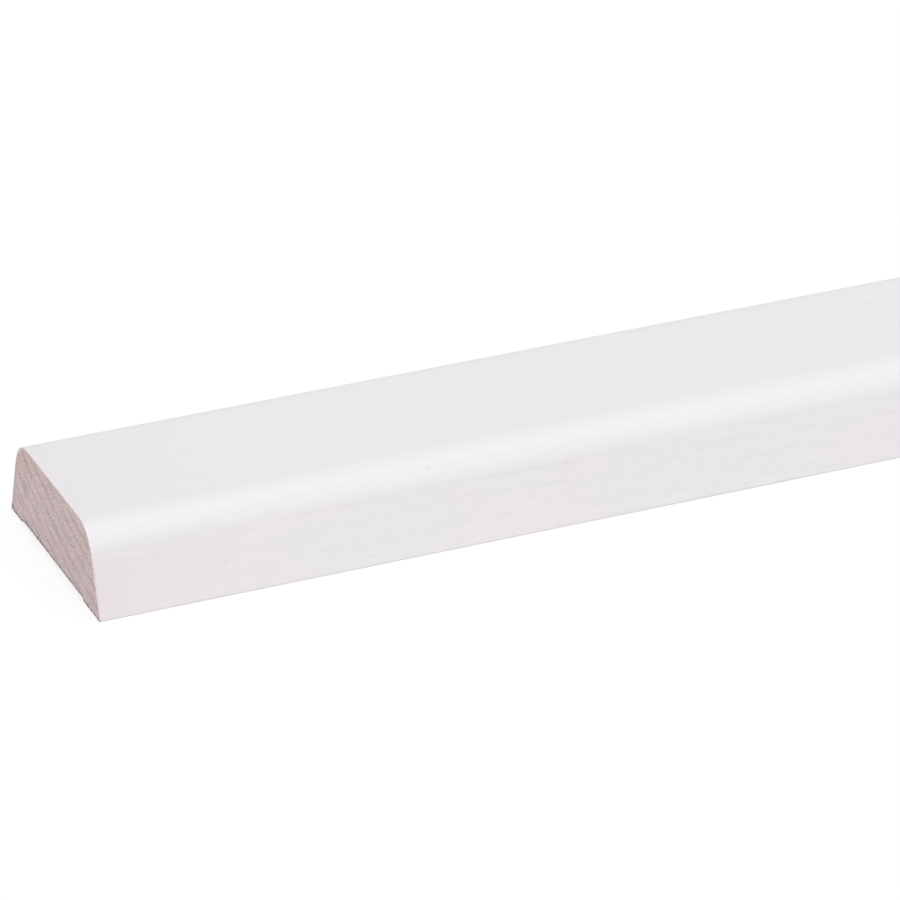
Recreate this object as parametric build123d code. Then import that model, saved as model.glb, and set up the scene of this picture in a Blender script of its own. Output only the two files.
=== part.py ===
from build123d import *
import os
from math import radians, tan

# A bevelled pine trim strip: one planed length of pine, lying on its back.
# X runs along the strip, Y across it and Z from its back up to its face.
# The origin is the middle of the back, on the plane of the two lands it lies on.
# The front long side is at -Y and the rear one at +Y.

# Driving dimensions, in millimetres and degrees
LENGTH = 2400.0  # stock length
BACK_WIDTH = 45.0  # across the back, between the two arrises before they are eased
THICKNESS = 16.0  # from the back to the face
BEVEL_ANGLE = 16.5  # lean of each long side inwards, from square to the back
FACE_EDGE_RADIUS = 6.5  # rounding between the face and each long side
ARRIS_RADIUS = 0.2  # easing of the two arrises of the back
FRONT_LAND = 8.3  # flat of the back between the front arris and the relief
REAR_LAND = 5.2  # flat of the back between the rear arris and the relief
RELIEF_DEPTH = 0.6  # shallow cut along the back, which lets it bear on its lands
RELIEF_FRONT_RUN = 0.2  # width of the relief's steep front wall
RELIEF_REAR_RUN = 1.8  # width of the relief's gently sloped rear wall

# Places across the strip, worked out from the driving dimensions
BEVEL_RUN = THICKNESS * tan(radians(BEVEL_ANGLE))
FRONT_ARRIS_Y = -BACK_WIDTH / 2
REAR_ARRIS_Y = BACK_WIDTH / 2
RELIEF_FRONT_Y = FRONT_ARRIS_Y + FRONT_LAND
RELIEF_REAR_Y = REAR_ARRIS_Y - REAR_LAND


def section():
    """The strip's cross-section: a trapezoid with rounded face edges and a relieved back.

    It is drawn flat, with the strip's width along the drawing's X and its thickness along Y.
    """
    outline = Polyline(
        (FRONT_ARRIS_Y, 0),
        (RELIEF_FRONT_Y, 0),
        (RELIEF_FRONT_Y + RELIEF_FRONT_RUN, RELIEF_DEPTH),
        (RELIEF_REAR_Y - RELIEF_REAR_RUN, RELIEF_DEPTH),
        (RELIEF_REAR_Y, 0),
        (REAR_ARRIS_Y, 0),
        (REAR_ARRIS_Y - BEVEL_RUN, THICKNESS),
        (FRONT_ARRIS_Y + BEVEL_RUN, THICKNESS),
        close=True,
    )
    profile = make_face(outline)
    face_corners = profile.vertices().group_by(Axis.Y)[-1]
    profile = fillet(face_corners, FACE_EDGE_RADIUS)
    arrises = profile.vertices().group_by(Axis.Y)[0].sort_by(Axis.X)
    return fillet([arrises[0], arrises[-1]], ARRIS_RADIUS)


def trim_strip():
    """The whole strip, sawn square at both ends."""
    return extrude(Plane.YZ * section(), amount=LENGTH / 2, both=True)


os.makedirs("parts", exist_ok=True)
export_step(trim_strip(), "parts/trim_strip.step")
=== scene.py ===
from functools import reduce
from math import cos, pi, radians, sin, tan

import bpy
import numpy as np
from mathutils import Matrix, Vector
from mathutils.geometry import delaunay_2d_cdt


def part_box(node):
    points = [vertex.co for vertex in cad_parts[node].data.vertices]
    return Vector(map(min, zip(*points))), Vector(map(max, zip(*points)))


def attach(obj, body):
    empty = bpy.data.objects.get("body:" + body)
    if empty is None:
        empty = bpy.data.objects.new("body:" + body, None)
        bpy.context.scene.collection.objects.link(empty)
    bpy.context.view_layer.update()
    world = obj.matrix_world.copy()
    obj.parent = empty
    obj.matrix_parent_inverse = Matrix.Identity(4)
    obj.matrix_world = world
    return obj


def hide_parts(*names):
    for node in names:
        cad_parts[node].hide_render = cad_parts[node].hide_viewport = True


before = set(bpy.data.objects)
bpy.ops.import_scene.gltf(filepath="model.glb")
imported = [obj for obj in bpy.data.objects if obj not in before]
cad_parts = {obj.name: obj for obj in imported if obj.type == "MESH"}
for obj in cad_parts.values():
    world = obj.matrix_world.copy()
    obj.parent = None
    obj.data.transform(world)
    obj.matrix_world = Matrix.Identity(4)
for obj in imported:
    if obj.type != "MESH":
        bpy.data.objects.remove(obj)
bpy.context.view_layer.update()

# A white-primed pine trim strip, worked out in millimetres: X along it, Y across it, Z up from its back
MM = 0.001

# Sizes: the length and thickness are the frame's, and the section is the solid's
lowest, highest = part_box("trim_strip")
LENGTH = (highest.x - lowest.x) / MM
THICKNESS = (highest.z - lowest.z) / MM
BACK_WIDTH = 45.0
BEVEL = radians(16.5)
FACE_EDGE_RADIUS = 6.5
ARRIS_RADIUS = 0.2
FRONT_LAND = 8.3
REAR_LAND = 5.2
RELIEF_DEPTH = 0.6
RELIEF_FRONT_RUN = 0.2
RELIEF_REAR_RUN = 1.8

# Places on the section, worked out from those sizes
HALF_WIDTH = BACK_WIDTH / 2
ARRIS_ANGLE = pi / 2 - BEVEL
ARRIS_Y = HALF_WIDTH - ARRIS_RADIUS / tan(ARRIS_ANGLE / 2)
EDGE_Y = HALF_WIDTH - THICKNESS * tan(BEVEL) - FACE_EDGE_RADIUS * tan(ARRIS_ANGLE / 2)
EDGE_Z = THICKNESS - FACE_EDGE_RADIUS
RELIEF_FRONT_Y = FRONT_LAND - HALF_WIDTH
RELIEF_REAR_Y = HALF_WIDTH - REAR_LAND

# Growth rings: where the tree's pith lay, seen on the near end, and how far apart the rings are
PITH_Y, PITH_Z = -40.0, 120.0
FIRST_RING = 110.25
RING_PITCH = 2.96
# the shares of one ring between which its dark summer growth comes up, and then stops
LATE_RISE = (0.2, 0.5)
LATE_FALL = (0.52, 0.7)
# how far the pith strays along the strip, and the length of its waves
PITH_STRAY_Y, PITH_WAVE_Y = 5.0, 900.0
PITH_STRAY_Z, PITH_WAVE_Z = 4.0, 700.0
# how far a ring wavers, and the length of its waves round the tree and along the strip
RING_WAVE, RING_WAVE_ROUND, RING_WAVE_ALONG = 0.2, 17.0, 260.0
RING_RIPPLE, RING_RIPPLE_ROUND, RING_RIPPLE_ALONG = 0.08, 4.1, 90.0
# how unevenly the rings are spaced, as a share of one, and over what distance that changes
RING_UNEVEN, RING_UNEVEN_OVER = 0.09, 11.0

# Fine relief of the painted faces: sunken soft growth, the film's own waves with their length along X, Y
# and Z, and the line that the planer's cutters left below each rounding
SOFT_SINK = 0.014
FILM_WAVE = 0.005
FILM_WAVE_X, FILM_WAVE_Y, FILM_WAVE_Z = 310.0, 7.0, 9.0
CUTTER_LINE_DEPTH = 0.017
CUTTER_LINE_WIDTH = 0.5
CUTTER_LINE_BELOW = 0.75
# a face that leans less than this from upright belongs to a long side
SIDE_LEAN = radians(45)
# the heights between which the planed foot of the long sides gives way to that relief
PLANED_FOOT = (0.6, 2.0)

# Chips at the sawn edges: how deep and how far in, how long, how ragged, and the levels at which they start
# and are full. The shift makes the two ends chip in different places
CHIP_DEPTH = 0.1
CHIP_REACH = 0.6
CHIP_LENGTH = 9.0
CHIP_RAGGED, CHIP_RAGGED_LENGTH = 0.5, 2.1
CHIP_LEVELS = (0.35, 1.1)
CHIP_SHIFT = 3.1

# Fine relief of the sawn ends: the cut's mean depth, how much deeper soft growth tears, and the saw's arcs
SAW_DEPTH = 0.03
TORN_DEPTH = 0.05
SAW_WAVE = 0.02
SAW_PITCH = 2.4
SAW_CENTRE = (60.0, -130.0)
# how far in from the outline that relief starts and is full
SAW_RISE = (0.1, 0.6)

# Mesh spacing along the strip, over the sawn ends, and how far those points keep from the outline
STATION_PITCH = 12.0
STATIONS_AT_END = (0.0, 0.12, 0.3, 0.6, 1.1, 2.0, 3.5, 6.0)
END_PITCH = 0.42
END_MARGIN = 0.22
# and round the section: the relief's ceiling, its two ends, the lands, the front side, the face and rear side
CEILING_PITCH = 1.4
STEP_PITCH = 0.3
SLOPE_PITCH = 0.6
LAND_PITCH = 0.8
FRONT_PITCH = 0.33
FACE_PITCH = 0.4
ARRIS_STEPS = 5
EDGE_STEPS = 26
# points closer than this are one point, and edges sharper than this are not shaded smooth
JOIN_DISTANCE = 1e-5
SHARP_ANGLE = radians(40)

# Unwrapping: the strip is laid out in rows, with its hidden back squeezed and its two ends enlarged
ROWS = 5
ROW_LENGTH = LENGTH / ROWS
ROW_GAP = 3.0
BACK_SQUEEZE = 0.35
END_ENLARGED = 4.0

# Camera, fitted to the photograph: its place is measured from the foot of the near end
CAMERA_AZIMUTH = radians(-23.2715)
CAMERA_ELEVATION = radians(27.5970)
CAMERA_BACK, CAMERA_RIGHT, CAMERA_UP = 1028.866, 68.424, 19.801
CAMERA_LENS, CAMERA_SENSOR = 237.615, 36.0
CAMERA_NEAREST, CAMERA_FARTHEST = 10.0, 200000.0

# Light: what the surround gives the strip, and what shows of it behind
SURROUND_LIGHT, SURROUND_SEEN = 0.65, 1.0
# the floor's shade for the light that it throws back, its shade in the picture, and the open floor's glow
FLOOR_LIT, FLOOR_SEEN, FLOOR_GLOW = 0.65, 0.38, 0.65
FLOOR_REACH = 30000.0
FLOOR_BELOW = 0.005
# how far round a point of the floor counts as near, and how open it is where the glow starts and is full
NEAR_FLOOR = 10.0
OPEN_FLOOR = (0.05, 0.14)
# the lamps: strength, degrees across, and the direction that each lies in
KEY_LAMP = (0.38, 35, (-0.22, -0.60, 0.77))
SHEEN_LAMP = (0.037, 12, (0.35, -0.16, 0.92))


# Smooth seeded wandering: the share and the speed of each octave, its two waves, and their usual peak
OCTAVE_SHARE, OCTAVE_SPEED = 0.62, 1.9
OCTAVE_WAVES = (1.0, 1.37)
USUAL_PEAK = 1.6


def wander(t, seed, octaves=4):
    """A smooth number about -1 to 1 for each t, whose slowest wave is about one unit long."""
    rng = np.random.default_rng(seed)
    total = np.zeros_like(t, dtype=float)
    power = 0.0
    for octave in range(octaves):
        gain = OCTAVE_SHARE**octave
        for turn in OCTAVE_WAVES:
            total += gain * np.sin(2 * pi * t * turn * OCTAVE_SPEED**octave + rng.uniform(0, 2 * pi))
            power += gain**2 / 2
    return total / (USUAL_PEAK * np.sqrt(power))


def step(low, high, t):
    """0 below low and 1 above high, with a smooth rise between."""
    u = np.clip((t - low) / (high - low), 0, 1)
    return u * u * (3 - 2 * u)


# The section


def run(start, end, pitch):
    """Points about pitch apart from start up to, but not at, end."""
    start, end = np.array(start), np.array(end)
    count = max(1, round(float(np.linalg.norm(end - start)) / pitch))
    return [start + (end - start) * k / count for k in range(count)]


def bend(centre, radius, start, end, count):
    """Points on an arc from the angle start up to, but not at, end."""
    angles = np.linspace(start, end, count, endpoint=False)
    return [np.array(centre) + radius * np.array((cos(a), sin(a))) for a in angles]


def section():
    """Points round the section, and which of them are on the back.

    They go clockwise, seen from +X, from the middle of the back.
    """
    front_lean = pi - BEVEL
    leaning = np.array((cos(front_lean), sin(front_lean)))
    low = np.array((-ARRIS_Y, ARRIS_RADIUS)) + ARRIS_RADIUS * leaning
    high = np.array((-EDGE_Y, EDGE_Z)) + FACE_EDGE_RADIUS * leaning
    mirror = np.array((-1, 1))
    step_top = (RELIEF_FRONT_Y + RELIEF_FRONT_RUN, RELIEF_DEPTH)
    slope_top = (RELIEF_REAR_Y - RELIEF_REAR_RUN, RELIEF_DEPTH)
    middle = (0, RELIEF_DEPTH)
    front_back = run(middle, step_top, CEILING_PITCH) + run(step_top, (RELIEF_FRONT_Y, 0), STEP_PITCH)
    front_back += run((RELIEF_FRONT_Y, 0), (-ARRIS_Y, 0), LAND_PITCH)
    faces = bend((-ARRIS_Y, ARRIS_RADIUS), ARRIS_RADIUS, 1.5 * pi, front_lean, ARRIS_STEPS)
    faces += run(low, high, FRONT_PITCH)
    faces += bend((-EDGE_Y, EDGE_Z), FACE_EDGE_RADIUS, front_lean, pi / 2, EDGE_STEPS)
    faces += run((-EDGE_Y, THICKNESS), (EDGE_Y, THICKNESS), FACE_PITCH)
    faces += bend((EDGE_Y, EDGE_Z), FACE_EDGE_RADIUS, pi / 2, BEVEL, EDGE_STEPS)
    faces += run(high * mirror, low * mirror, FACE_PITCH)
    faces += bend((ARRIS_Y, ARRIS_RADIUS), ARRIS_RADIUS, BEVEL, -pi / 2, ARRIS_STEPS)
    rear_back = run((ARRIS_Y, 0), (RELIEF_REAR_Y, 0), LAND_PITCH)
    rear_back += run((RELIEF_REAR_Y, 0), slope_top, SLOPE_PITCH) + run(slope_top, middle, CEILING_PITCH)
    on_back = [True] * len(front_back) + [False] * len(faces) + [True] * len(rear_back)
    return np.array(front_back + faces + rear_back), np.array(on_back)


def outward(outline):
    """The unit normal at each point of the section."""
    ahead = np.roll(outline, -1, axis=0) - outline
    ahead /= np.linalg.norm(ahead, axis=1)[:, None]
    tangent = ahead + np.roll(ahead, 1, axis=0)
    tangent /= np.linalg.norm(tangent, axis=1)[:, None]
    return np.stack((-tangent[:, 1], tangent[:, 0]), axis=1)


def run_lengths(outline):
    """The distance round the section from its first point to each point, and back to the first."""
    sides = np.linalg.norm(np.roll(outline, -1, axis=0) - outline, axis=1)
    return np.concatenate(([0.0], np.cumsum(sides)))


def from_outline(outline, places):
    """How far each place inside the section is from its outline."""
    nearest = np.full(len(places), np.inf)
    for start, side in zip(outline, np.roll(outline, -1, axis=0) - outline):
        share = np.clip((places - start) @ side / (side @ side), 0, 1)
        nearest = np.minimum(nearest, np.linalg.norm(places - start - share[:, None] * side, axis=1))
    return nearest


# The grain


def stray(x, reach, length, seed):
    """How far the pith has strayed at x, counted from the near end."""
    near_end = np.array([-LENGTH / 2])
    return reach * (wander(x / length, seed, octaves=3) - wander(near_end / length, seed, octaves=3))


def grain(x, y, z):
    """The ring count at points of the strip, and their place round the ring."""
    pith_y = PITH_Y + stray(x, PITH_STRAY_Y, PITH_WAVE_Y, seed=3)
    pith_z = PITH_Z + stray(x, PITH_STRAY_Z, PITH_WAVE_Z, seed=5)
    radius = np.hypot(y - pith_y, z - pith_z)
    ray = np.arctan2(y - pith_y, pith_z - z) * PITH_Z
    wave = wander(ray / RING_WAVE_ROUND + x / RING_WAVE_ALONG, seed=11, octaves=3)
    ripple = wander(ray / RING_RIPPLE_ROUND + x / RING_RIPPLE_ALONG, seed=12, octaves=2)
    radius += RING_WAVE * wave + RING_RIPPLE * ripple
    uneven = RING_UNEVEN * wander(radius / RING_UNEVEN_OVER, seed=13, octaves=2)
    return (radius - FIRST_RING) / RING_PITCH + uneven, ray


def latewood(ring):
    """How dense the wood is, 0 in the pale spring growth and 1 in the dark summer growth."""
    share = np.mod(ring + 0.5, 1.0)
    return step(*LATE_RISE, share) * (1 - step(*LATE_FALL, share))


# The mesh


def stations():
    """Places along the strip: close together at the sawn ends, and one at the end of each row."""
    half = np.concatenate((STATIONS_AT_END, np.arange(0, LENGTH / 2, STATION_PITCH)))
    row_ends = np.arange(ROWS + 1) * ROW_LENGTH
    return np.unique(np.round(np.concatenate((half, LENGTH - half, row_ends)), 4)) - LENGTH / 2


def cutter_line(z, normal):
    """How far points at the height z are in the line below a rounding, from 0 to 1."""
    below_rounding = (EDGE_Z + FACE_EDGE_RADIUS * sin(BEVEL) - z) / cos(BEVEL)
    on_side = np.abs(normal[:, 1]) < cos(SIDE_LEAN)
    return on_side * np.exp(-(((below_rounding - CUTTER_LINE_BELOW) / CUTTER_LINE_WIDTH) ** 2))


def chips(x, around):
    """How far points are in a chip of a sawn edge, from 0 to 1."""
    ragged = CHIP_RAGGED * wander(around / CHIP_RAGGED_LENGTH, seed=32)
    chip = step(*CHIP_LEVELS, wander(around / CHIP_LENGTH + CHIP_SHIFT * np.sign(x), seed=31) + ragged)
    return chip * (1 - step(0.0, CHIP_REACH, LENGTH / 2 - np.abs(x)))


def long_faces(outline, xs):
    """The points of the long faces, station by station.

    With them go their ring, their ray and how far the face there cuts across the rings.
    """
    x = np.repeat(xs, len(outline))
    y, z = np.tile(outline, (len(xs), 1)).T
    normal = np.tile(outward(outline), (len(xs), 1))
    around = np.tile(run_lengths(outline)[:-1], len(xs))
    ring, ray = grain(x, y, z)
    radial = np.stack((y - PITH_Y, z - PITH_Z), axis=1)
    radial /= np.linalg.norm(radial, axis=1)[:, None]
    cut = np.abs(radial[:, 1] * normal[:, 0] - radial[:, 0] * normal[:, 1])
    wave = np.clip(1 + wander(x / FILM_WAVE_X + y / FILM_WAVE_Y + z / FILM_WAVE_Z, seed=21), 0, 2)
    sunk = SOFT_SINK * cut * (1 - latewood(ring)) + FILM_WAVE * wave
    sunk += CUTTER_LINE_DEPTH * cutter_line(z, normal)
    sunk += CHIP_DEPTH * chips(x, around)
    # the foot of the long sides and the back stay as they were planed
    sunk *= step(*PLANED_FOOT, z)
    y, z = np.stack((y, z)) - sunk * normal.T
    return np.stack((x, y, z), axis=1), ring, ray, cut


def end_points(outline):
    """A staggered grid of places inside the section, clear of its outline."""
    rows = np.arange(END_MARGIN, THICKNESS, END_PITCH * cos(pi / 6))
    columns = np.arange(-HALF_WIDTH, HALF_WIDTH, END_PITCH)
    y = np.concatenate([columns + (k % 2) * END_PITCH / 2 for k in range(len(rows))])
    z = np.repeat(rows, len(columns))
    inside = np.abs(y) < HALF_WIDTH - z * tan(BEVEL)
    past_edge = (np.abs(y) > EDGE_Y) & (z > EDGE_Z)
    inside &= ~past_edge | (np.hypot(np.abs(y) - EDGE_Y, z - EDGE_Z) < FACE_EDGE_RADIUS)
    under_relief = (y > RELIEF_FRONT_Y) & (y < RELIEF_REAR_Y) & (z < RELIEF_DEPTH)
    places = np.stack((y, z), axis=1)[inside & ~under_relief]
    return places[from_outline(outline, places) > END_MARGIN]


def sawn_end(side, places, film):
    """The points inside one sawn end, side -1 or 1, with their ring and ray."""
    y, z = places.T
    x = np.full(len(places), side * LENGTH / 2)
    ring, ray = grain(x, y, z)
    arcs = np.hypot(y - side * SAW_CENTRE[0], z - SAW_CENTRE[1]) / SAW_PITCH
    depth = SAW_DEPTH + TORN_DEPTH * (1 - latewood(ring)) + SAW_WAVE * (1 + wander(arcs, seed=41, octaves=2))
    depth *= step(*SAW_RISE, film)
    return np.stack((x - side * depth, y, z), axis=1), ring, ray


def unwrap_long(outline, on_back, xs):
    """Map corners of the long faces: each row of the strip is laid beside the last."""
    hidden = on_back & np.roll(on_back, -1)
    sides = np.diff(run_lengths(outline)) * np.where(hidden, BACK_SQUEEZE, 1.0)
    around = np.concatenate(([0.0], np.cumsum(sides)))
    row_height = around[-1] + ROW_GAP
    corners = []
    for start, end in zip(xs[:-1] + LENGTH / 2, xs[1:] + LENGTH / 2):
        row = int((start + end) / 2 / ROW_LENGTH)
        left, right = (place - row * ROW_LENGTH + ROW_GAP for place in (start, end))
        for low, high in zip(around[:-1] + row * row_height, around[1:] + row * row_height):
            corners += [(left, low), (right, low), (right, high), (left, high)]
    return corners, ROWS * row_height


def unwrap_ends(ends, foot):
    """Map corners of the sawn ends, side by side above the rows."""
    pitch = BACK_WIDTH * END_ENLARGED + ROW_GAP
    return [
        ((HALF_WIDTH + y) * END_ENLARGED + ROW_GAP + pitch * (side > 0), z * END_ENLARGED + foot)
        for side, y, z in ends
    ]


# The strip's material slots: the painted faces, the sawn ends and the back
PAINTED, SAWN, BACK = range(3)


def pine_strip():
    """The whole strip as one closed mesh."""
    outline, on_back = section()
    xs = stations()
    around, last = len(outline), len(xs) - 1
    places, ring, ray, cut = long_faces(outline, xs)
    points, rings, rays = [places], [ring], [ray]
    faces, slots = [], []
    for i in range(last):
        for j in range(around):
            k = (j + 1) % around
            faces.append([i * around + j, (i + 1) * around + j, (i + 1) * around + k, i * around + k])
            slots.append(BACK if on_back[j] and on_back[k] else PAINTED)

    inner = end_points(outline)
    film = from_outline(outline, inner)
    flat = [Vector(p) for p in np.concatenate((outline, inner))]
    loop = list(range(around))[::-1]
    # kind 1 keeps only the triangles inside the loop
    flat_places, _, triangles, sources, _, _ = delaunay_2d_cdt(flat, [], [loop], 1, JOIN_DISTANCE)
    end_corners = []
    for side, rim in ((-1, 0), (1, last * around)):
        first = sum(len(p) for p in points)
        end_places, ring, ray = sawn_end(side, inner, film)
        points.append(end_places)
        rings.append(ring)
        rays.append(ray)
        index = [rim + s[0] if s[0] < around else first + s[0] - around for s in sources]
        for triangle in triangles:
            order = triangle if side > 0 else triangle[::-1]
            faces.append([index[v] for v in order])
            slots.append(SAWN)
            end_corners += [(side, *flat_places[v]) for v in order]

    mesh = bpy.data.meshes.new("trim_strip_pine")
    mesh.from_pydata((np.concatenate(points) * MM).tolist(), [], faces)
    films = np.concatenate((np.zeros(len(places)), film, film))
    cuts = np.concatenate((cut, np.ones(2 * len(inner))))
    attributes = {"ring": np.concatenate(rings), "ray": np.concatenate(rays), "cut": cuts, "film": films}
    for name, values in attributes.items():
        mesh.attributes.new(name, "FLOAT", "POINT").data.foreach_set("value", values.astype(np.float32))

    corners, top = unwrap_long(outline, on_back, xs)
    corners += unwrap_ends(end_corners, top)
    sheet = max(ROW_LENGTH, top + THICKNESS * END_ENLARGED) + 2 * ROW_GAP
    layer = mesh.uv_layers.new(name="OFBake")
    layer.data.foreach_set("uv", (np.array(corners) / sheet).ravel().astype(np.float32))

    mesh.polygons.foreach_set("material_index", slots)
    mesh.polygons.foreach_set("use_smooth", [True] * len(faces))
    mesh.set_sharp_from_angle(angle=SHARP_ANGLE)
    strip = bpy.data.objects.new("trim_strip_pine", mesh)
    bpy.context.collection.objects.link(strip)
    return strip


# Materials


class Nodes:
    """Short calls for building one material's nodes.

    A value is a number, a colour or another node's output.
    """

    def __init__(self, name):
        self.material = bpy.data.materials.new(name)
        self.material.use_nodes = True
        self.tree = self.material.node_tree
        self.shader = self.tree.nodes["Principled BSDF"]

    def add(self, kind, inputs=None, **settings):
        node = self.tree.nodes.new(kind)
        for key, value in settings.items():
            setattr(node, key, value)
        for key, value in (inputs or {}).items():
            self.feed(node.inputs[key], value)
        return node

    def feed(self, socket, value):
        if isinstance(value, bpy.types.NodeSocket):
            self.tree.links.new(value, socket)
        else:
            socket.default_value = value

    def math(self, operation, *values, clamp=False):
        inputs = dict(enumerate(values))
        return self.add("ShaderNodeMath", inputs, operation=operation, use_clamp=clamp).outputs[0]

    def sum(self, *values):
        return reduce(lambda a, b: self.math("ADD", a, b), values)

    def product(self, *values):
        return reduce(lambda a, b: self.math("MULTIPLY", a, b), values)

    def ramp(self, value, low, high, at_low=0.0, at_high=1.0, kind="SMOOTHSTEP"):
        """at_low below low and at_high above high."""
        inputs = {"Value": value, "From Min": low, "From Max": high, "To Min": at_low, "To Max": at_high}
        return self.add("ShaderNodeMapRange", inputs, interpolation_type=kind).outputs["Result"]

    def mix(self, share, below, above, blend="MIX"):
        inputs = {"Factor": share, 6: below, 7: above}
        return self.add("ShaderNodeMix", inputs, data_type="RGBA", blend_type=blend).outputs[2]

    def noise(self, place, scale, stretch=(1, 1, 1), detail=2.0, rough=0.5):
        """Noise whose largest marks are about 1 / scale wide, drawn out where stretch is under 1."""
        place = self.add("ShaderNodeMapping", {"Vector": place, "Scale": stretch}).outputs[0]
        inputs = {"Vector": place, "Scale": scale, "Detail": detail, "Roughness": rough}
        return self.add("ShaderNodeTexNoise", inputs).outputs["Fac"]

    def attribute(self, name):
        return self.add("ShaderNodeAttribute", attribute_name=name).outputs["Fac"]

    def place(self):
        """The point on the strip in millimetres."""
        metres = self.add("ShaderNodeTexCoord").outputs["Object"]
        scaled = self.add("ShaderNodeVectorMath", {0: metres, "Scale": 1 / MM}, operation="SCALE")
        return scaled.outputs[0]

    def split(self, place):
        return self.add("ShaderNodeSeparateXYZ", {0: place}).outputs

    def latewood(self):
        """How dense the wood is, as latewood() gives it for the mesh."""
        share = self.math("FRACT", self.sum(self.attribute("ring"), 0.5))
        return self.product(self.ramp(share, *LATE_RISE), self.ramp(share, *LATE_FALL, 1.0, 0.0))

    def finish(self, colour, roughness, specular, height, depth):
        """Feeds the shader and returns the material.

        The height is in shares of the depth, which is in millimetres.
        """
        self.feed(self.shader.inputs["Base Color"], colour)
        self.feed(self.shader.inputs["Roughness"], roughness)
        self.shader.inputs["Specular IOR Level"].default_value = specular
        bump = self.add("ShaderNodeBump", {"Height": height, "Distance": depth * MM, "Strength": 1.0})
        self.feed(self.shader.inputs["Normal"], bump.outputs["Normal"])
        return self.material


def rgb(*levels):
    """A colour written as 0 to 255 on screen."""
    return (*[((level / 255 + 0.055) / 1.055) ** 2.4 for level in levels], 1.0)


# Below, a noise is its scale to a millimetre, its stretch, its detail and its roughness. A ramp is where it
# starts and stops, and what it gives there, which is 0 and 1 where that is left out

# White primer: its colours, from the whole coat to the dust nibs in it
PAINT = rgb(236, 233.5, 237)
PAINT_THIN = rgb(226, 223, 226)
PAINT_WARM = rgb(239, 231, 235)
PAINT_NEAR_END = rgb(231, 229, 232)
SIDE_NEAR_END = rgb(235, 226, 231)
PAINT_RIM = rgb(246, 225, 224)
PAINT_RUBBED = rgb(221, 210, 211)
PAINT_NIB = rgb(204, 199, 202)
# its noises
STREAK_NOISE = (2.0, (0.2, 1, 1), 2.5, 0.6)
PATCH_NOISE = (0.05, (0.4, 1, 1), 1.0)
SKIN_NOISE = (1.1, (0.7, 1, 1))
NIB_NOISE = (0.6, (0.7, 1, 1), 0.0)
# ramps over the height: the long sides, the rounding's two ends, and the face's rim
SIDE_SHARE = (9.0, 14.0, 1.0, 0.15)
ROUNDING_STARTS = (9.0, 12.0)
ROUNDING_STOPS = (15.0, 16.0, 1.0, 0.0)
FACE_RIM = (8.0, 12.0)
# ramps over the distance from the sawn end: the long darkening towards it, a short one, and the rim itself
LONG_END_DARKENING = (0.0, 45.0, 0.5, 0.0)
SHORT_END_DARKENING = (0.0, 9.0, 0.35, 0.0)
RIM_SHARE = (0.05, 0.5, 0.5, 0.0)
# ramps over the rest: warm patches, how much less the rounding darkens near the ends, streaks, where they
# show, nibs and roughness
WARM_SHARE = (0.4, 0.7, 0.0, 0.6)
ROUNDING_END_DARKENING = (0.0, 1.0, 1.0, 0.1)
STREAK_SHARE = (0.4, 0.8, 0.0, 0.45)
STREAKS_SHOW = (0.3, 0.9, 0.2, 1.0)
NIB_SHARE = (0.78, 0.98, 0.0, 0.3)
PAINT_ROUGHNESS = (0.3, 0.7, 0.44, 0.56)
# how much summer growth darkens and smooths the coat, the shares of its bump, and its gloss
DENSE_SHARE, DENSE_ROUGHNESS = 0.1, -0.05
STREAK_HEIGHT, SKIN_HEIGHT, PAINT_BUMP = 0.6, 0.4, 0.01
PAINT_SPECULAR = 0.5
COAT_WEIGHT, COAT_ROUGHNESS = 0.25, 0.22


def white_primer():
    """Sprayed primer on planed pine, with a faint grain, dust nibs, and colour darker towards the sawn ends.
    """
    n = Nodes("white_primer")
    place = n.place()
    x, _, z = n.split(place)
    from_end = n.math("SUBTRACT", LENGTH / 2, n.math("ABSOLUTE", x))
    streak = n.noise(place, *STREAK_NOISE)
    patch = n.noise(place, *PATCH_NOISE)
    skin = n.noise(place, *SKIN_NOISE)
    nib = n.noise(place, *NIB_NOISE)
    cut = n.attribute("cut")
    dense = n.product(n.latewood(), cut)
    side = n.ramp(z, *SIDE_SHARE)
    colour = n.mix(n.product(n.ramp(patch, *WARM_SHARE), side), PAINT, PAINT_WARM)
    end_darkening = n.sum(n.ramp(from_end, *LONG_END_DARKENING), n.ramp(from_end, *SHORT_END_DARKENING))
    rounding = n.product(n.ramp(z, *ROUNDING_STARTS), n.ramp(z, *ROUNDING_STOPS))
    end_darkening = n.product(end_darkening, n.ramp(rounding, *ROUNDING_END_DARKENING))
    colour = n.mix(end_darkening, colour, n.mix(side, PAINT_NEAR_END, SIDE_NEAR_END))
    streaky = n.product(n.ramp(streak, *STREAK_SHARE), n.ramp(cut, *STREAKS_SHOW))
    colour = n.mix(n.sum(n.product(dense, DENSE_SHARE), streaky), colour, PAINT_THIN)
    colour = n.mix(n.ramp(nib, *NIB_SHARE), colour, PAINT_NIB)
    rim = n.mix(n.ramp(z, *FACE_RIM), PAINT_RUBBED, PAINT_RIM)
    colour = n.mix(n.ramp(from_end, *RIM_SHARE), colour, rim)
    roughness = n.sum(n.ramp(skin, *PAINT_ROUGHNESS), n.product(dense, DENSE_ROUGHNESS))
    height = n.sum(n.product(streak, STREAK_HEIGHT), n.product(skin, SKIN_HEIGHT))
    n.shader.inputs["Coat Weight"].default_value = COAT_WEIGHT
    n.shader.inputs["Coat Roughness"].default_value = COAT_ROUGHNESS
    return n.finish(colour, roughness, PAINT_SPECULAR, height, PAINT_BUMP)


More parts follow.
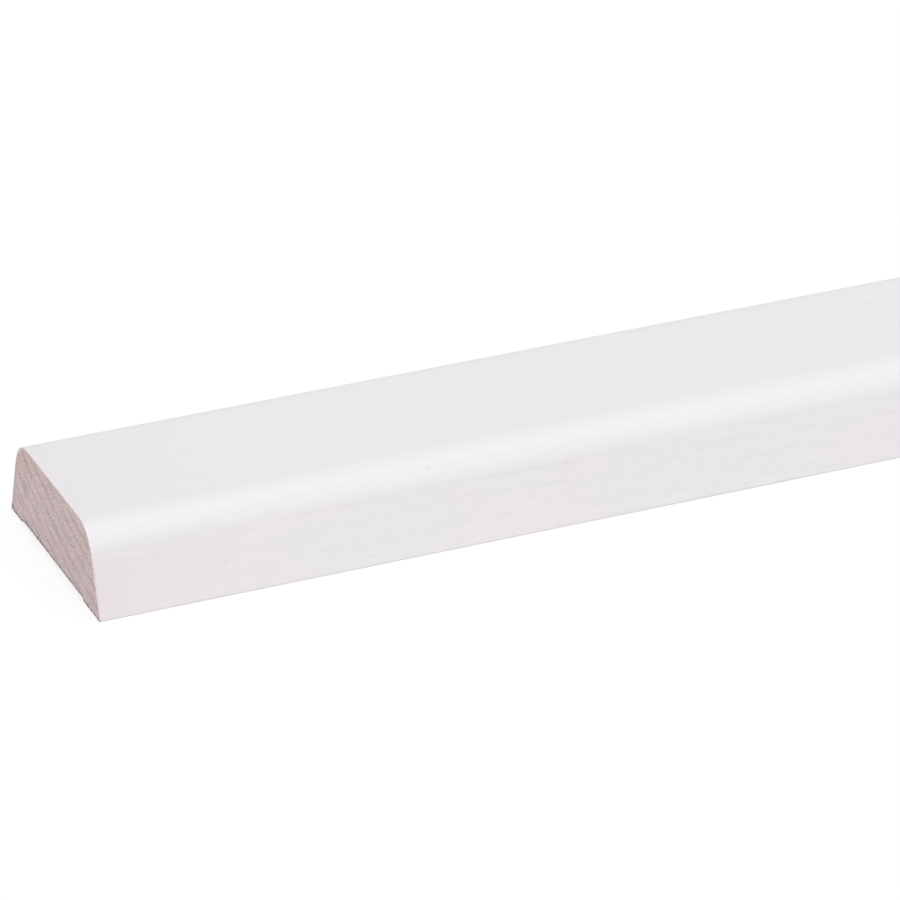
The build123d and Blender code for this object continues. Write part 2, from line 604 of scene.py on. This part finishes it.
# Sawn pine: its colours. Resin, rosy wood and the warm corner tint what lies under them
EARLY_WOOD = rgb(244, 223, 223)
LATE_WOOD = rgb(141, 121, 120)
RESIN = rgb(245, 236, 226)
ROSY = rgb(247, 231, 236)
WARM_CORNER = rgb(253, 246, 237)
# painted shadow: a dark line along the foot of the sawn end, where the strip's shadow falls under it
FOOT_SHADOW = rgb(92, 86, 87)
GREYED = rgb(163, 175, 175)
# the paint's cut edge: a real lip of paint, coloured brighter than the paint itself as a painted highlight
CUT_PAINT_HIGHLIT = rgb(253, 247, 246)
# its noises: the first three run round the rings, and the others lie flat on the end
BAND_NOISE = (0.33, (0.35, 1, 1))
LINE_NOISE = (2.6, (0.08, 1, 1), 2.0, 0.6)
RAY_NOISE = (2.4, (1, 0.12, 1), 1.0)
FLAT = (0.2, 1, 1)
TORN_NOISE = (2.6, FLAT, 3.0, 0.7)
FINE_NOISE = (7.0, FLAT)
TINT_NOISE = (0.4, FLAT)
FOOT_SHADOW_NOISE = (1.3, FLAT, 2.0, 0.6)
# the corner between the rear side and the back, where lines show more and torn fibre less
REAR_FOOT_SLOPE = 0.8
REAR_FOOT = (0.0, 12.0)
REAR_FOOT_LINES = (0.0, 1.0, 1.0, 2.0)
REAR_FOOT_TORN = (0.0, 1.0, 1.0, 0.7)
# how dark each mark makes the wood
BAND_DARK = (0.3, 0.7, 0.09, 0.27)
LINE_DARK = (0.25, 0.75, -0.19, 0.26, "LINEAR")
TORN_DARK = (0.25, 0.75, -0.31, 0.69, "LINEAR")
RAY_DARK = (0.35, 0.75, -0.03, 0.08)
FINE_DARK = (0.3, 0.7, -0.07, 0.07)
# the tints, and the warm corner between the rear side and the face
RESIN_SHARE = (0.5, 0.75, 0.0, 0.3)
ROSY_SHARE = (0.25, 0.45, 0.3, 0.0)
CORNER_SLOPE = 0.35
CORNER_SHARE = (14.0, 19.0, 0.0, 0.6)
# the painted shadow along the foot, where the strip shades the floor: its height, its width, how it lessens
# on the lands, how uneven it is and its lean to the rear
FOOT = (0.8, 1.2, 1.0, 0.0)
FOOT_SHADOW_WIDTH = (0.15, 0.45, 1.0, 0.0)
FOOT_SHADOW_ON_LANDS = (0.4, 0.55, 0.85, 1.0)
FOOT_SHADOW_UNEVEN = (0.38, 0.62, 0.25, 1.7)
FOOT_SHADOW_TO_REAR = (-10.0, 10.0, 0.8, 1.2)
# the greyed edge: its width, and where it starts across the end
GREY_WIDTH = (0.3, 1.3, 0.3, 0.0)
GREY_TO_REAR = (8.0, 14.0)
# the cut edge of the paint, a real lip painted brighter as a highlight: how ragged it is, its width, the soft
# edge inside it, and its strength by height
LIP_RAGGED = (0.3, 0.7, -0.1, 0.1)
LIP_WIDTH = (0.14, 0.26, 1.0, 0.0)
SOFT_LIP = (8.0, 13.0, 0.0, 0.45)
SOFT_LIP_STARTS, SOFT_LIP_STOPS = 0.2, 0.9
LIP_UP_SIDES = (9.0, 13.0, 0.2, 1.0)
# the shares of its bump, its roughness and its gloss
TORN_HEIGHT, FINE_HEIGHT, WOOD_BUMP = 0.6, 0.4, 0.05
WOOD_ROUGHNESS = (0.3, 0.7, 0.72, 0.9)
WOOD_SPECULAR = 0.25


def sawn_pine():
    """Sawn end grain: ring lines, torn fibres, a painted shadow along the foot, and the cut edge of the paint
    round it, painted brighter as a highlight.
    """
    n = Nodes("sawn_pine")
    place = n.place()
    _, y, z = n.split(place)
    film = n.attribute("film")
    out = n.product(n.attribute("ring"), RING_PITCH)
    polar = n.add("ShaderNodeCombineXYZ", {0: n.attribute("ray"), 1: out}).outputs[0]
    bands = n.noise(polar, *BAND_NOISE)
    lines = n.noise(polar, *LINE_NOISE)
    rays = n.noise(polar, *RAY_NOISE)
    torn = n.noise(place, *TORN_NOISE)
    fine = n.noise(place, *FINE_NOISE)
    tint = n.noise(place, *TINT_NOISE)
    foot_noise = n.noise(place, *FOOT_SHADOW_NOISE)
    rear_foot = n.ramp(n.math("SUBTRACT", y, n.product(z, REAR_FOOT_SLOPE)), *REAR_FOOT)
    dark = n.sum(
        n.product(n.latewood(), n.ramp(bands, *BAND_DARK)),
        n.product(n.ramp(lines, *LINE_DARK), n.ramp(rear_foot, *REAR_FOOT_LINES)),
        n.product(n.ramp(torn, *TORN_DARK), n.ramp(rear_foot, *REAR_FOOT_TORN)),
        n.ramp(rays, *RAY_DARK),
    )
    dark = n.math("ADD", dark, n.ramp(fine, *FINE_DARK), clamp=True)
    colour = n.mix(dark, EARLY_WOOD, LATE_WOOD)
    colour = n.mix(n.ramp(tint, *RESIN_SHARE), colour, RESIN, "MULTIPLY")
    colour = n.mix(n.ramp(tint, *ROSY_SHARE), colour, ROSY, "MULTIPLY")
    to_corner = n.sum(n.product(y, CORNER_SLOPE), z)
    colour = n.mix(n.ramp(to_corner, *CORNER_SHARE), colour, WARM_CORNER, "MULTIPLY")
    foot = n.ramp(z, *FOOT)
    # painted shadow along the foot, darkest where the relief leaves a gap under the strip
    uneven_shade = n.product(n.ramp(foot_noise, *FOOT_SHADOW_UNEVEN), n.ramp(y, *FOOT_SHADOW_TO_REAR))
    shadow_at_foot = n.product(n.ramp(film, *FOOT_SHADOW_WIDTH), foot, n.ramp(z, *FOOT_SHADOW_ON_LANDS), uneven_shade)
    colour = n.mix(shadow_at_foot, colour, FOOT_SHADOW)
    greyed = n.product(n.ramp(film, *GREY_WIDTH), n.ramp(y, *GREY_TO_REAR))
    colour = n.mix(greyed, colour, GREYED)
    # the cut edge of the paint: a real lip with a painted highlight in its brighter colour, stronger towards
    # the face
    ragged = n.sum(film, foot, n.ramp(torn, *LIP_RAGGED))
    soft_lip_and_highlight = n.ramp(ragged, SOFT_LIP_STARTS, SOFT_LIP_STOPS, n.ramp(z, *SOFT_LIP), 0.0)
    lip_and_highlight = n.math("MAXIMUM", n.ramp(ragged, *LIP_WIDTH), soft_lip_and_highlight)
    colour = n.mix(n.product(lip_and_highlight, n.ramp(z, *LIP_UP_SIDES)), colour, CUT_PAINT_HIGHLIT)
    roughness = n.ramp(fine, *WOOD_ROUGHNESS)
    height = n.sum(n.product(torn, TORN_HEIGHT), n.product(fine, FINE_HEIGHT))
    return n.finish(colour, roughness, WOOD_SPECULAR, height, WOOD_BUMP)


# Thin primer on the back: its colours, its noises, how bare it is, its roughness, gloss and bump
THIN_COAT = rgb(226, 221, 218)
PLANED_PINE = rgb(214, 194, 174)
BACK_STREAK_NOISE = (1.3, (0.03, 1, 1), 3.0, 0.6)
BACK_PATCH_NOISE = (0.06, (0.3, 1, 1))
BACK_SKIN_NOISE = (1.1, (0.4, 1, 1))
BARE_STREAKS = (0.35, 0.75)
BARE_PATCHES = (0.3, 0.7, 0.25, 0.8)
BARE_DENSE = 0.15
BACK_ROUGHNESS = (0.3, 0.7, 0.6, 0.75)
BACK_SPECULAR, BACK_BUMP = 0.4, 0.02


def thin_primer():
    """The back: a thin coat of the primer, through which the planed pine shows in long streaks."""
    n = Nodes("thin_primer")
    place = n.place()
    streak = n.noise(place, *BACK_STREAK_NOISE)
    patch = n.noise(place, *BACK_PATCH_NOISE)
    skin = n.noise(place, *BACK_SKIN_NOISE)
    bare = n.product(n.ramp(streak, *BARE_STREAKS), n.ramp(patch, *BARE_PATCHES))
    colour = n.mix(n.sum(bare, n.product(n.latewood(), BARE_DENSE)), THIN_COAT, PLANED_PINE)
    return n.finish(colour, n.ramp(skin, *BACK_ROUGHNESS), BACK_SPECULAR, streak, BACK_BUMP)


# Floor, light and camera


def seen_directly(tree):
    """1 for what the camera sees, also in a reflection or through glass, and 0 for light on the strip."""
    path = tree.nodes.new("ShaderNodeLightPath")
    seen = path.outputs["Is Camera Ray"]
    for name in ("Is Glossy Ray", "Is Transmission Ray"):
        either = tree.nodes.new("ShaderNodeMath")
        either.operation = "MAXIMUM"
        tree.links.new(seen, either.inputs[0])
        tree.links.new(path.outputs[name], either.inputs[1])
        seen = either.outputs[0]
    return seen


def studio_world():
    """An even white surround: one level lights the strip, and the other is what shows behind it."""
    world = bpy.data.worlds.new("studio")
    world.use_nodes = True
    tree = world.node_tree
    level = tree.nodes.new("ShaderNodeMapRange")
    level.inputs["To Min"].default_value = SURROUND_LIGHT
    level.inputs["To Max"].default_value = SURROUND_SEEN
    tree.links.new(seen_directly(tree), level.inputs["Value"])
    surround = tree.nodes["Background"]
    surround.inputs["Color"].default_value = (1, 1, 1, 1)
    tree.links.new(level.outputs["Result"], surround.inputs["Strength"])
    return world


def pale_floor():
    """A floor that is white where it is open and darkens only close under the strip."""
    n = Nodes("pale_floor")
    n.shader.inputs["Roughness"].default_value = 1.0
    n.shader.inputs["Specular IOR Level"].default_value = 0.0
    n.shader.inputs["Emission Color"].default_value = (1, 1, 1, 1)
    direct = seen_directly(n.tree)
    lit, seen = ((shade, shade, shade, 1) for shade in (FLOOR_LIT, FLOOR_SEEN))
    n.feed(n.shader.inputs["Base Color"], n.mix(direct, lit, seen))
    openness = n.add("ShaderNodeAmbientOcclusion", {"Distance": NEAR_FLOOR * MM}).outputs["AO"]
    glow = n.product(direct, n.ramp(openness, *OPEN_FLOOR, 0.0, FLOOR_GLOW, "LINEAR"))
    n.feed(n.shader.inputs["Emission Strength"], glow)
    return n.material


def floor(material):
    """The ground, a hair under the strip."""
    reach = FLOOR_REACH * MM
    mesh = bpy.data.meshes.new("floor")
    corners = [(-reach, -reach, 0), (reach, -reach, 0), (reach, reach, 0), (-reach, reach, 0)]
    mesh.from_pydata(corners, [], [(0, 1, 2, 3)])
    mesh.materials.append(material)
    piece = bpy.data.objects.new("floor", mesh)
    piece.location.z = -FLOOR_BELOW * MM
    bpy.context.collection.objects.link(piece)


def sun(name, strength, angle, direction):
    """A soft lamp a long way off: strength 1 lights a white surface that faces it fully."""
    lamp = bpy.data.lights.new(name, "SUN")
    lamp.energy = strength * pi
    lamp.angle = radians(angle)
    piece = bpy.data.objects.new(name, lamp)
    piece.rotation_euler = Vector(direction).to_track_quat("Z", "Y").to_euler()
    bpy.context.collection.objects.link(piece)


def photo_camera():
    """The camera where the photograph was taken from."""
    level = cos(CAMERA_ELEVATION)
    back = Vector((sin(CAMERA_AZIMUTH) * level, -cos(CAMERA_AZIMUTH) * level, sin(CAMERA_ELEVATION)))
    right = Vector((cos(CAMERA_AZIMUTH), sin(CAMERA_AZIMUTH), 0))
    up = back.cross(right)
    near_end = Vector((-LENGTH / 2, 0, 0))
    eye = near_end + back * CAMERA_BACK + right * CAMERA_RIGHT + up * CAMERA_UP
    data = bpy.data.cameras.new("camera")
    data.sensor_width = CAMERA_SENSOR
    data.lens = CAMERA_LENS
    data.clip_start = CAMERA_NEAREST * MM
    data.clip_end = CAMERA_FARTHEST * MM
    camera = bpy.data.objects.new("camera", data)
    camera.matrix_world = Matrix.Translation(eye * MM) @ Matrix((right, up, back)).transposed().to_4x4()
    bpy.context.collection.objects.link(camera)
    return camera


strip = pine_strip()
for material in (white_primer(), sawn_pine(), thin_primer()):
    strip.data.materials.append(material)
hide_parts("trim_strip")
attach(strip, "root")

scene = bpy.context.scene
scene.view_settings.view_transform = "Standard"
scene.world = studio_world()
scene.camera = photo_camera()
floor(pale_floor())
sun("key", *KEY_LAMP)
sun("sheen", *SHEEN_LAMP)
